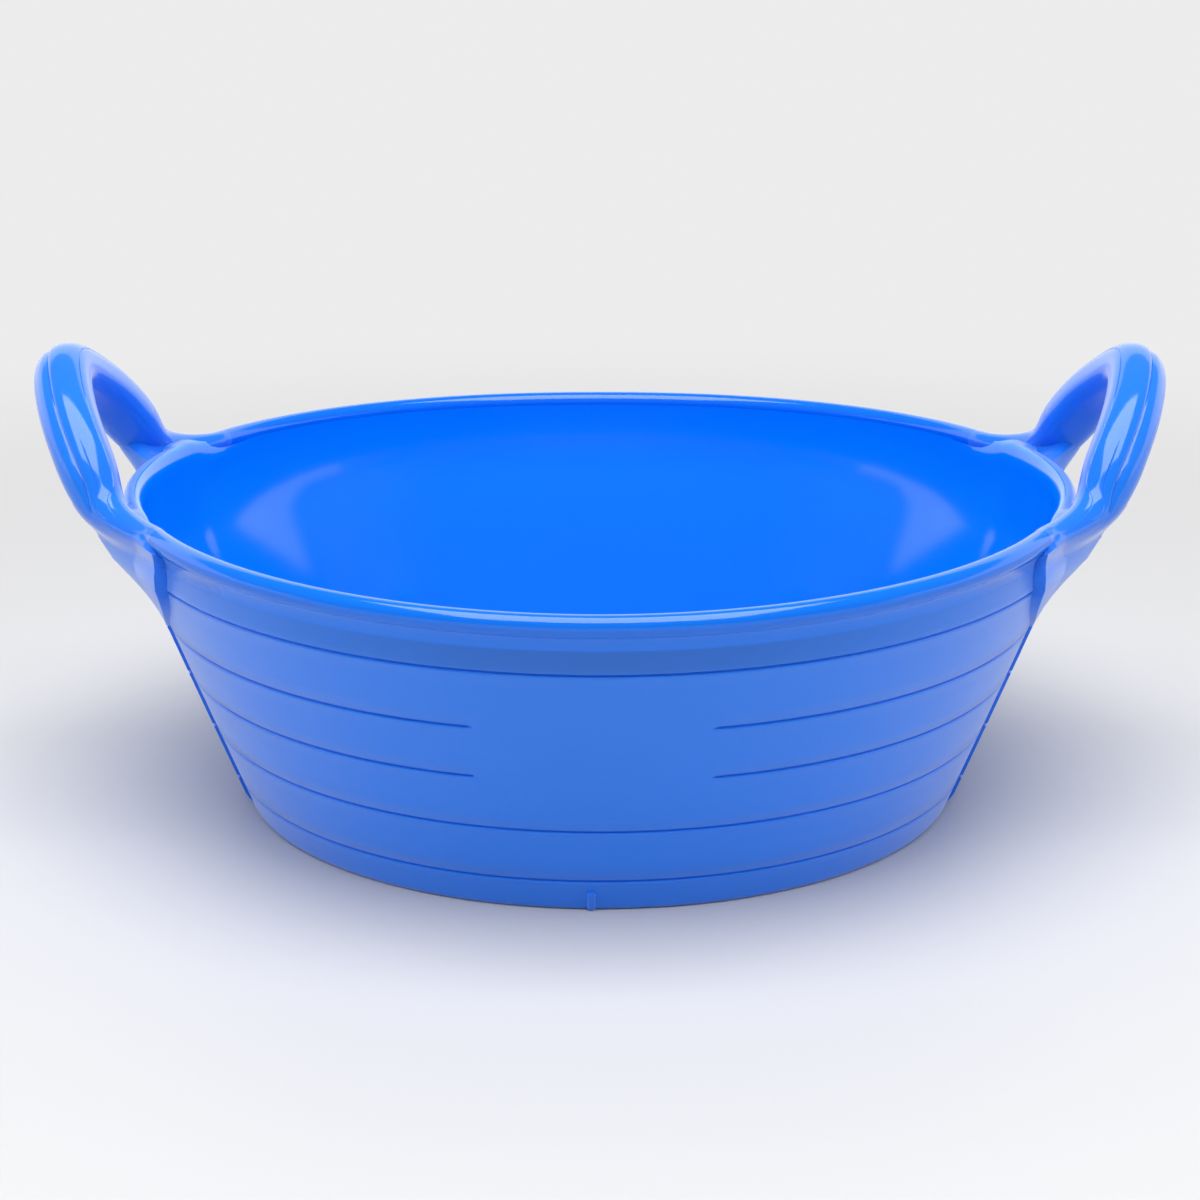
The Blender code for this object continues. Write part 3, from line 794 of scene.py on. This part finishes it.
def grip_relief(grip, turn, share):
    """Depth of the bar's parting line and fine lines at this place round it and along it."""
    low = ramp(turn, *PARTING_STEP_ENDS) * (1.0 - ramp(turn, PARTING_TURN - FINE_LINE_TURN,
                                                       PARTING_TURN + FINE_LINE_TURN))
    leg = ramp(share, *LEG_LINE_STARTS) * (1.0 - ramp(share, *LEG_LINE_STOPS))
    depth = grip.parting_depth * notch(turn, PARTING_TURN, PARTING_HALF_TURN, PARTING_SHARPNESS)
    depth += grip.parting_step * low
    valley = VALLEY_DEPTH * smoothstep(notch(turn, PARTING_TURN, VALLEY_HALF_TURN, 1.0))
    depth += valley if turn < PARTING_TURN else valley * VALLEY_TUB_SIDE
    depth += LEG_LINE_DEPTH * leg * notch(turn, LEG_LINE_TURN, FINE_LINE_TURN, 1.0)
    return depth + HAND_LINE_DEPTH * notch(turn, HAND_LINE_TURN, FINE_LINE_TURN, 1.0)


def grip_rings(form, grip):
    """Rings of the right-hand grip from its front root to its rear root."""
    bead, rim = form.sizes.bead_radius, form.sizes.rim_height
    half = []
    for turn in (GRIP_ROOT_ANGLE + 2 * GRIP_OVERLAP, GRIP_ROOT_ANGLE + GRIP_OVERLAP, GRIP_ROOT_ANGLE):
        half.append(tuple(form.place(form.bead_circle, -turn, form.bead_height)))
    for out, side, up in GRIP_COURSE:
        half.append((form.bead_circle + grip.reach * out, -GRIP_SPAN / 2 * side, rim + grip.rise * up))
    curve = natural_spline(half + [(x, -y, z) for x, y, z in reversed(half[:-1])], 2)
    out, up = HOLE_CENTRE
    centre = Vector((form.bead_circle + grip.reach * out, 0.0, rim + grip.rise * up))
    turns = grip_turns(grip)
    rings = []
    last = grip.rings - 1
    for i in range(-GRIP_OVERLAP_RINGS, last + GRIP_OVERLAP_RINGS + 1):
        share = min(max(i / last, 0.0), 1.0)
        middle, along = curve(share)
        if i <= 0 or i >= last:
            beyond = GRIP_OVERLAP * max(-i, i - last) / GRIP_OVERLAP_RINGS
            turn = (GRIP_ROOT_ANGLE + beyond) * (1.0 if i > 0 else -1.0)
            middle = form.place(form.bead_circle, turn, form.bead_height)
            along = Vector((-sin(turn), cos(turn), 0.0))
        near_root = min(share, 1.0 - share)
        swell = smoothstep(near_root / GRIP_SWELL)
        half_width = bead + GRIP_COVER + (grip.width / 2 - bead - GRIP_COVER) * swell
        half_depth = bead + GRIP_COVER + (grip.depth / 2 - GRIP_TRIM - bead) * swell
        out = middle - centre
        out = (out - out.dot(along) * along).normalized()
        across = along.cross(out)
        ring = []
        for turn in turns:
            c, s = cos(turn), sin(turn)
            power = 1.0 if s >= 0 else 1.0 - GRIP_SQUARENESS * swell
            x = half_width * copysign(abs(c) ** power, c)
            y = half_depth * copysign(abs(s) ** power, s)
            depth = grip_relief(grip, turn, near_root) * swell
            ring.append(middle + across * (x - depth * c) + out * (y - depth * s))
        rings.append(ring)
    return rings


def half_turn(bm):
    """Turns a shape made for the right side round to the left."""
    bmesh.ops.rotate(bm, verts=bm.verts, matrix=Matrix.Rotation(pi, 3, "Z"))
    return bm


def bead_arc(form, start, end, steps):
    """Stretch of the rim's bead: a round section spun about the tub's axis and lifted to its rise."""
    sizes = form.sizes
    bm = bmesh.new()
    edge_mark = bm.verts.layers.int.new("edge")
    disc = bmesh.ops.create_circle(bm, cap_ends=True, segments=BEAD_SIDES, radius=sizes.bead_radius)["verts"]
    bmesh.ops.rotate(bm, verts=disc, matrix=Matrix.Rotation(pi / 2, 3, "X"))
    edge = min(disc, key=lambda v: abs(atan2(v.co.z, v.co.x) - BEAD_EDGE_ANGLE))
    edge[edge_mark] = 1
    bmesh.ops.translate(bm, verts=disc, vec=(form.bead_circle, 0.0, form.bead_height))
    bmesh.ops.rotate(bm, verts=disc, matrix=Matrix.Rotation(start, 3, "Z"))
    geometry = bm.verts[:] + bm.edges[:] + bm.faces[:]
    bmesh.ops.spin(bm, geom=geometry, cent=(0.0, 0.0, 0.0), axis=(0.0, 0.0, 1.0),
                   angle=end - start, steps=steps, use_merge=False, use_duplicate=False)
    for vert in bm.verts:
        angle = angle_of(vert)
        if vert[edge_mark]:
            strong = 1.0 - (1.0 - BEAD_EDGE_LEAST) * ramp(from_handle(angle), *BEAD_EDGE_ENDS)
            middle = Vector((form.bead_circle * cos(angle), form.bead_circle * sin(angle),
                             form.bead_height))
            vert.co += (vert.co - middle).normalized() * BEAD_EDGE_PROUD * strong
        vert.co.z += form.rise(angle, form.bead_height)
    bmesh.ops.recalc_face_normals(bm, faces=bm.faces)
    return bm


def tree_of(*shapes):
    """Search tree over several shapes together."""
    both = bmesh.new()
    for bm in shapes:
        mesh = bpy.data.meshes.new("scratch")
        bm.to_mesh(mesh)
        both.from_mesh(mesh)
        bpy.data.meshes.remove(mesh)
    tree = BVHTree.FromBMesh(both)
    both.free()
    return tree


def upper_forms(form, grip):
    """Search tree over the bead and both grips, which the wall and the webs run onto."""
    right = loft(grip_rings(form, grip))
    left = half_turn(loft(grip_rings(form, grip)))
    front = bead_arc(form, -pi + GRIP_ROOT_ANGLE, -GRIP_ROOT_ANGLE, BEAD_TREE_STEPS)
    rear = bead_arc(form, GRIP_ROOT_ANGLE, pi - GRIP_ROOT_ANGLE, BEAD_TREE_STEPS)
    shapes = (right, left, front, rear)
    tree = tree_of(*shapes)
    for bm in shapes:
        bm.free()
    return tree


class TUB_OT_shell(bpy.types.Operator):
    """Spin the wall, its collar, foot and floor, with the fill lines and the recesses"""
    bl_idname = "feed_tub.shell"
    bl_label = "Tub Shell"

    def execute(self, context):
        sizes, finish = context.scene.tub_sizes, context.scene.plastic_finish
        form = TubForm(sizes)
        columns = sizes.columns
        pitch = 2 * pi / columns
        edges = [sizes.panel_half_angle * share for share in GROOVE_GAPS.values()]
        marks = [-pi / 2 + PANEL_TURN + side * edge for side in (-1, 1) for edge in edges]
        angles = [snapped(i * pitch, marks, pitch) for i in range(columns)]
        rows = [form.outer_rows(angle) + form.inner_rows(angle) for angle in angles]
        bm, row_mark = spin_profile(rows[0], columns)
        inner_row = len(form.outer_rows(0.0)) - LIP_INSIDE_ROWS
        for vert in bm.verts:
            column = round(angle_of(vert) / pitch) % columns
            r, z = rows[column][vert[row_mark]]
            vert.co = form.place(r, angles[column], z)
        bmesh.ops.remove_doubles(bm, verts=bm.verts, dist=MERGE_DISTANCE)
        bmesh.ops.recalc_face_normals(bm, faces=bm.faces)
        for face in bm.faces:
            face.material_index = int(min(v[row_mark] for v in face.verts) >= inner_row)
        tree = upper_forms(form, context.scene.grip_sizes)

        def reach(vert):
            most = INNER_FILLET if vert[row_mark] > inner_row else OUTER_FILLET
            return most * (1.0 - ramp(from_handle(angle_of(vert)), *WALL_FILLET_ENDS))

        blend_into(bm, handle_verts(bm, COVE_START), tree, reach)
        fair(bm, ROOT_FROM, ROOT_ANGLE, ROOT_SPREAD, ROOT_ROUNDS)
        mark_gloss(bm, tree)
        # Painted shade: each outside vertex stores how much darker its blue is painted where the bead's
        # shadow falls on the collar, most at the front
        painted_shade_mark = bm.verts.layers.float.new("shade")
        row_mark = bm.verts.layers.int["row"]
        for vert in bm.verts:
            if vert[row_mark] < inner_row:
                height = rows[0][vert[row_mark]][1]
                shade = ramp(height, SHADE_FROM, SHADE_FROM + SHADE_FADE)
                shade *= 1.0 - ramp(height, SHADE_TO, SHADE_TO + SHADE_FADE)
                shade *= 1.0 - SHADE_LOSS * ramp(from_front(angle_of(vert)), 0.0, SHADE_TURN)
                vert[painted_shade_mark] = shade
        materials = (tub_plastic(finish, "satin"), tub_plastic(finish, "polished"))
        add_piece("tub_skin", bm, materials, ("tub_shell",))
        return {"FINISHED"}


class TUB_OT_nib(bpy.types.Operator):
    """Add the small upright gate nib at the front of the base"""
    bl_idname = "feed_tub.nib"
    bl_label = "Gate Nib"

    def execute(self, context):
        sizes, finish = context.scene.tub_sizes, context.scene.plastic_finish
        form = TubForm(sizes)
        bm = bmesh.new()
        bmesh.ops.create_cube(bm, size=1.0)
        depth = NIB_PROUD + sizes.wall
        bmesh.ops.scale(bm, verts=bm.verts, vec=(NIB_WIDTH, depth, NIB_HEIGHT))
        top = [v for v in bm.verts if v.co.z > 0]
        bmesh.ops.translate(bm, verts=top, vec=(0.0, -form.slope * NIB_HEIGHT, 0.0))
        bmesh.ops.bevel(bm, geom=bm.edges[:], offset=NIB_PROUD * NIB_ROUNDING, segments=NIB_ROUND_STEPS,
                        profile=0.5, affect="EDGES", material=-1)
        front = -sizes.base_radius - NIB_PROUD + depth / 2
        bmesh.ops.translate(bm, verts=bm.verts, vec=(NIB_OFFSET, front, NIB_HEIGHT / 2))
        add_piece("gate_nib", bm, (tub_plastic(finish, "satin"),))
        return {"FINISHED"}


class TUB_OT_rim(bpy.types.Operator):
    """Spin the two halves of the round bead on the rim"""
    bl_idname = "feed_tub.rim"
    bl_label = "Rim Bead"

    def execute(self, context):
        sizes, finish = context.scene.tub_sizes, context.scene.plastic_finish
        form = TubForm(sizes)
        plastic = tub_plastic(finish, "gloss")
        turn = GRIP_ROOT_ANGLE + GRIP_OVERLAP / 2
        for half, start in (("front", -pi + turn), ("rear", turn)):
            bm = bead_arc(form, start, start + pi - 2 * turn, BEAD_STEPS)
            add_piece("rim_bead_" + half, bm, (plastic,), ("rim_" + half,))
        return {"FINISHED"}


class TUB_OT_grips(bpy.types.Operator):
    """Sweep the two grips along their loops"""
    bl_idname = "feed_tub.grips"
    bl_label = "Grips"

    def execute(self, context):
        finish = context.scene.plastic_finish
        form = TubForm(context.scene.tub_sizes)
        plastic = tub_plastic(finish, "grip")
        for side in ("right", "left"):
            bm = loft(grip_rings(form, context.scene.grip_sizes))
            if side == "left":
                half_turn(bm)
            add_piece("grip_loop_" + side, bm, (plastic,), ("grip_" + side,))
        return {"FINISHED"}


def spread_angle(sizes, height):
    """Half-angle of the strap at this height: narrow on the wall, wide where the web begins."""
    share = min(max((COVE_START - height) / (COVE_START - SPREAD_START), 0.0), 1.0)
    low = sizes.strap_half_angle
    return low + (SPREAD_HALF_ANGLE - low) * (1.0 - share * share)


def web_shoulder(angle):
    """1 between the legs, falling to 0 outside them."""
    return 1.0 - ramp(abs(angle), *WEB_SHOULDER_ANGLES)


def web_flank(angle):
    """0 between the legs, rising to 1 under them and outside them."""
    return ramp(abs(angle), WEB_FLANK_ANGLE, WEB_LEG_ANGLE)


def web_lobe(angle):
    """How far the web stands out at this angle: most under the legs, nothing between them."""
    beyond = min(max((abs(angle) - WEB_LEG_ANGLE) / (WEB_END_ANGLE - WEB_LEG_ANGLE), 0.0), 1.0)
    return web_flank(angle) * (1.0 - beyond) ** WEB_FALL


def web_top(angle, lip_foot):
    """Height of the web's outer edge: highest on the legs, level with the lip between them."""
    beyond = min(max((abs(angle) - WEB_LEG_ANGLE) / (SPREAD_HALF_ANGLE - WEB_LEG_ANGLE), 0.0), 1.0)
    outer = WEB_EDGE_TOP + (WEB_LEG_TOP - WEB_EDGE_TOP) * (1.0 - beyond) ** WEB_TOP_FALL
    return lip_foot + (outer - lip_foot) * web_flank(angle)


def web_flare(height):
    """Reach of the web under a leg: a straight lean after a short ramp."""
    above = max(height - WEB_START, 0.0)
    if above < WEB_RAMP:
        return WEB_LEAN * above * above / (2 * WEB_RAMP)
    return WEB_LEAN * (above - WEB_RAMP / 2)


def web_rows(form, top):
    """Rows of the web as (height, depth) from below; every fill line but the top one crosses it."""
    rows = [(STRAP_FOOT + STRAP_RUNOUT * share, 0.0) for share in STRAP_FOOT_SHARES]
    for index in range(len(GROOVE_HEIGHTS) - 1):
        groove = form.groove_rows(index)
        low = rows[-1][0]
        rows += [(low + (groove[0][0] - low) * share, 0.0) for share in (0.33, 0.67)]
        rows += groove
    for low, high in ((rows[-1][0], COVE_START), (COVE_START, top)):
        rows += [(float(z), 0.0) for z in np.linspace(low, high, WEB_ROWS)[1:]]
    return rows


def web_stand(form, height, angle):
    """How far the web or strap stands out of the plain wall, before its fill lines."""
    lip_foot = form.sizes.rim_height - LIP_CROWN
    edge = ramp(height, WEB_START, COVE_START)
    tuck_start = COVE_START - WEB_TUCK_FROM
    tuck = 1.0 - WEB_EDGE_TUCK * ramp(height, tuck_start, tuck_start + WEB_TUCK_HEIGHT)
    least = WEB_EDGE_FLARE * edge * tuck * web_flank(angle)
    skin = form.sizes.strap_thickness * smoothstep((height - STRAP_FOOT) / STRAP_RUNOUT)
    skin *= 1.0 - ramp(height, COVE_START, lip_foot) * (1.0 - web_flank(angle))
    return skin + max(web_flare(height) * web_lobe(angle), least)


def web_ring(form, share):
    """Column of the web and strap at this share of its half-angle: outside, back, then its top."""
    lip_foot = form.sizes.rim_height - LIP_CROWN
    widest = SPREAD_HALF_ANGLE * share
    shelf = WEB_SHELF_TOP + (lip_foot - WEB_SHELF_TOP) * web_shoulder(widest)
    top = web_top(widest, lip_foot) if abs(share) < 1.0 else shelf
    outside, back = [], []
    for (z, depth), (behind, _) in zip(web_rows(form, top), web_rows(form, shelf)):
        angle = spread_angle(form.sizes, z) * share
        plain = form.wall_face(behind, angle)
        back.append((plain - WEB_SINK, angle, behind))
        if z > COVE_START:
            plain = form.outside(COVE_START) + WEB_FOOT_LEAN * (min(z, lip_foot) - COVE_START)
        stand = -WEB_SINK
        if abs(share) < 1.0:
            stand = web_stand(form, z, angle) - depth
        outside.append((plain + stand, angle, z))
    high_r, angle, high_z = outside[-1]
    low_r, _, low_z = back[-1]
    over = []
    for turn in np.linspace(0.0, pi / 2, WEB_CROWN_ROWS)[1:-1]:
        rounding = 1.0 - sin(turn) ** 4
        across = 1.0 - cos(turn)
        over.append((low_r + (high_r - low_r) * across, angle,
                     low_z + (high_z - low_z) * smoothstep(across * 1.15) * (0.9 + 0.1 * rounding)))
    return [form.place(*point) for point in outside[::-1] + back + over]


class TUB_OT_webs(bpy.types.Operator):
    """Loft the web and strap under each grip and run them smoothly onto its legs"""
    bl_idname = "feed_tub.webs"
    bl_label = "Webs"

    def execute(self, context):
        finish = context.scene.plastic_finish
        form = TubForm(context.scene.tub_sizes)
        tree = upper_forms(form, context.scene.grip_sizes)
        plastic = tub_plastic(finish, "satin")
        shares = [-share for share in reversed(WEB_EDGE_SHARES)]
        shares += [float(share) for share in WEB_INNER_SHARES] + list(WEB_EDGE_SHARES)

        def reach(vert):
            return WEB_FILLET * (1.0 - WEB_FILLET_LOSS * ramp(from_handle(angle_of(vert)), *WEB_FILLET_ENDS))

        for side in ("right", "left"):
            bm = loft([web_ring(form, share) for share in shares])
            blend_into(bm, [v for v in bm.verts if v.co.z > COLLAR_HEIGHT], tree, reach)
            mark_gloss(bm, tree)
            fair(bm, SADDLE_FROM, 0.0, SADDLE_ANGLE, SADDLE_ROUNDS)
            if side == "left":
                half_turn(bm)
            add_piece("web_strap_" + side, bm, (plastic,), ("web_" + side,))
        return {"FINISHED"}


def floor_paint(colour):
    """Pale floor that takes the shadow near the tub and stays evenly pale far from it."""
    material = bpy.data.materials.new("floor_paint")
    material.use_nodes = True
    tree = material.node_tree
    shader = tree.nodes["Principled BSDF"]
    shader.inputs["Base Color"].default_value = (*colour, 1.0)
    shader.inputs["Roughness"].default_value = FLOOR_ROUGHNESS
    place = tree.nodes.new("ShaderNodeTexCoord").outputs["Object"]
    away = tree.nodes.new("ShaderNodeVectorMath")
    away.operation = "LENGTH"
    tree.links.new(place, away.inputs[0])
    start, end = FLOOR_FADE
    far = node(tree, "ShaderNodeMapRange", Value=away.outputs["Value"], From_Min=start, From_Max=end)
    far.interpolation_type = "SMOOTHSTEP"
    path = tree.nodes.new("ShaderNodeLightPath")
    seen = math_node(tree, "MAXIMUM", path.outputs["Is Camera Ray"], path.outputs["Is Glossy Ray"])
    seen = math_node(tree, "MAXIMUM", seen, path.outputs["Is Transmission Ray"])
    pale = node(tree, "ShaderNodeEmission", Color=FLOOR_FAR, Strength=1.0)
    mix = node(tree, "ShaderNodeMixShader", Fac=math_node(tree, "MULTIPLY", far.outputs["Result"], seen))
    tree.links.new(shader.outputs["BSDF"], mix.inputs[1])
    tree.links.new(pale.outputs["Emission"], mix.inputs[2])
    tree.links.new(mix.outputs["Shader"], tree.nodes["Material Output"].inputs["Surface"])
    return material


def area_lamp(name, place, target, size, glossy, power):
    """Rectangular lamp at a place, turned to its target."""
    light = bpy.data.lights.new(name, "AREA")
    light.shape = "RECTANGLE"
    light.size, light.size_y = size
    light.energy = power
    lamp = bpy.data.objects.new(name, light)
    lamp.location = place
    lamp.rotation_euler = (Vector(target) - Vector(place)).to_track_quat("-Z", "Y").to_euler()
    lamp.visible_glossy = glossy
    bpy.context.scene.collection.objects.link(lamp)


class TUB_OT_studio(bpy.types.Operator):
    """Lay the floor, set the lamps and the world, and place the camera"""
    bl_idname = "feed_tub.studio"
    bl_label = "Studio"

    def execute(self, context):
        setting = context.scene.studio_setting
        bm = bmesh.new()
        bmesh.ops.create_circle(bm, cap_ends=True, segments=96, radius=FLOOR_RADIUS)
        mesh = bpy.data.meshes.new("floor")
        bm.to_mesh(mesh)
        bm.free()
        mesh.materials.append(floor_paint(setting.floor))
        floor = bpy.data.objects.new("floor", mesh)
        context.scene.collection.objects.link(floor)

        for lamp, power in zip(LAMPS, (setting.overhead, setting.sides, setting.sides, setting.front)):
            area_lamp(*lamp, power)

        world = bpy.data.worlds.new("studio_world")
        context.scene.world = world
        world.use_nodes = True
        tree = world.node_tree
        direction = tree.nodes.new("ShaderNodeTexCoord").outputs["Generated"]
        split = node(tree, "ShaderNodeSeparateXYZ", Vector=direction)
        behind = math_node(tree, "MAXIMUM", split.outputs["Y"], 0.0)
        lean = math_node(tree, "MULTIPLY", behind, SKY_LEAN)
        before = math_node(tree, "MAXIMUM", math_node(tree, "SUBTRACT", SKY_FRONT, split.outputs["Y"]), 0.0)
        height = math_node(tree, "ADD", math_node(tree, "SUBTRACT", split.outputs["Z"], lean), before)
        fade = node(tree, "ShaderNodeValToRGB", Fac=height)
        low, high = fade.color_ramp.elements
        low.position, high.position = SKY_EDGE
        low.color, high.color = SKY_PALE, SKY_DIM
        background = tree.nodes["Background"]
        tree.links.new(fade.outputs["Color"], background.inputs["Color"])
        background.inputs["Strength"].default_value = setting.sky

        camera = bpy.data.cameras.new("camera")
        camera.lens = CAMERA_LENS
        camera.sensor_width = CAMERA_SENSOR
        eye = bpy.data.objects.new("camera", camera)
        back = Vector((0.0, -cos(CAMERA_ELEVATION), sin(CAMERA_ELEVATION)))
        eye.location = CAMERA_TARGET + back * CAMERA_DISTANCE
        eye.rotation_euler = (pi / 2 - CAMERA_ELEVATION, 0.0, 0.0)
        context.scene.collection.objects.link(eye)
        context.scene.camera = eye
        context.scene.view_settings.view_transform = "Standard"
        return {"FINISHED"}


class VIEW3D_PT_feed_tub(bpy.types.Panel):
    bl_label = "Feed Tub"
    bl_idname = "VIEW3D_PT_feed_tub"
    bl_space_type = "VIEW_3D"
    bl_region_type = "UI"
    bl_category = "Feed Tub"

    def draw(self, context):
        column = self.layout.column()
        for operator in OPERATORS:
            column.operator(operator.bl_idname)


SETTINGS = (
    ("tub_sizes", TubSizes),
    ("grip_sizes", GripSizes),
    ("plastic_finish", PlasticFinish),
    ("studio_setting", StudioSetting),
)
OPERATORS = (TUB_OT_shell, TUB_OT_nib, TUB_OT_rim, TUB_OT_grips, TUB_OT_webs, TUB_OT_studio)


def register():
    for _, group in SETTINGS:
        bpy.utils.register_class(group)
    for operator in OPERATORS:
        bpy.utils.register_class(operator)
    bpy.utils.register_class(VIEW3D_PT_feed_tub)
    for name, group in SETTINGS:
        setattr(bpy.types.Scene, name, PointerProperty(type=group))


def unregister():
    for name, _ in SETTINGS:
        delattr(bpy.types.Scene, name)
    bpy.utils.unregister_class(VIEW3D_PT_feed_tub)
    for operator in reversed(OPERATORS):
        bpy.utils.unregister_class(operator)
    for _, group in reversed(SETTINGS):
        bpy.utils.unregister_class(group)


def main():
    register()
    bpy.ops.feed_tub.shell()
    bpy.ops.feed_tub.nib()
    bpy.ops.feed_tub.rim()
    bpy.ops.feed_tub.grips()
    bpy.ops.feed_tub.webs()
    bpy.ops.feed_tub.studio()


if __name__ == "__main__":
    main()
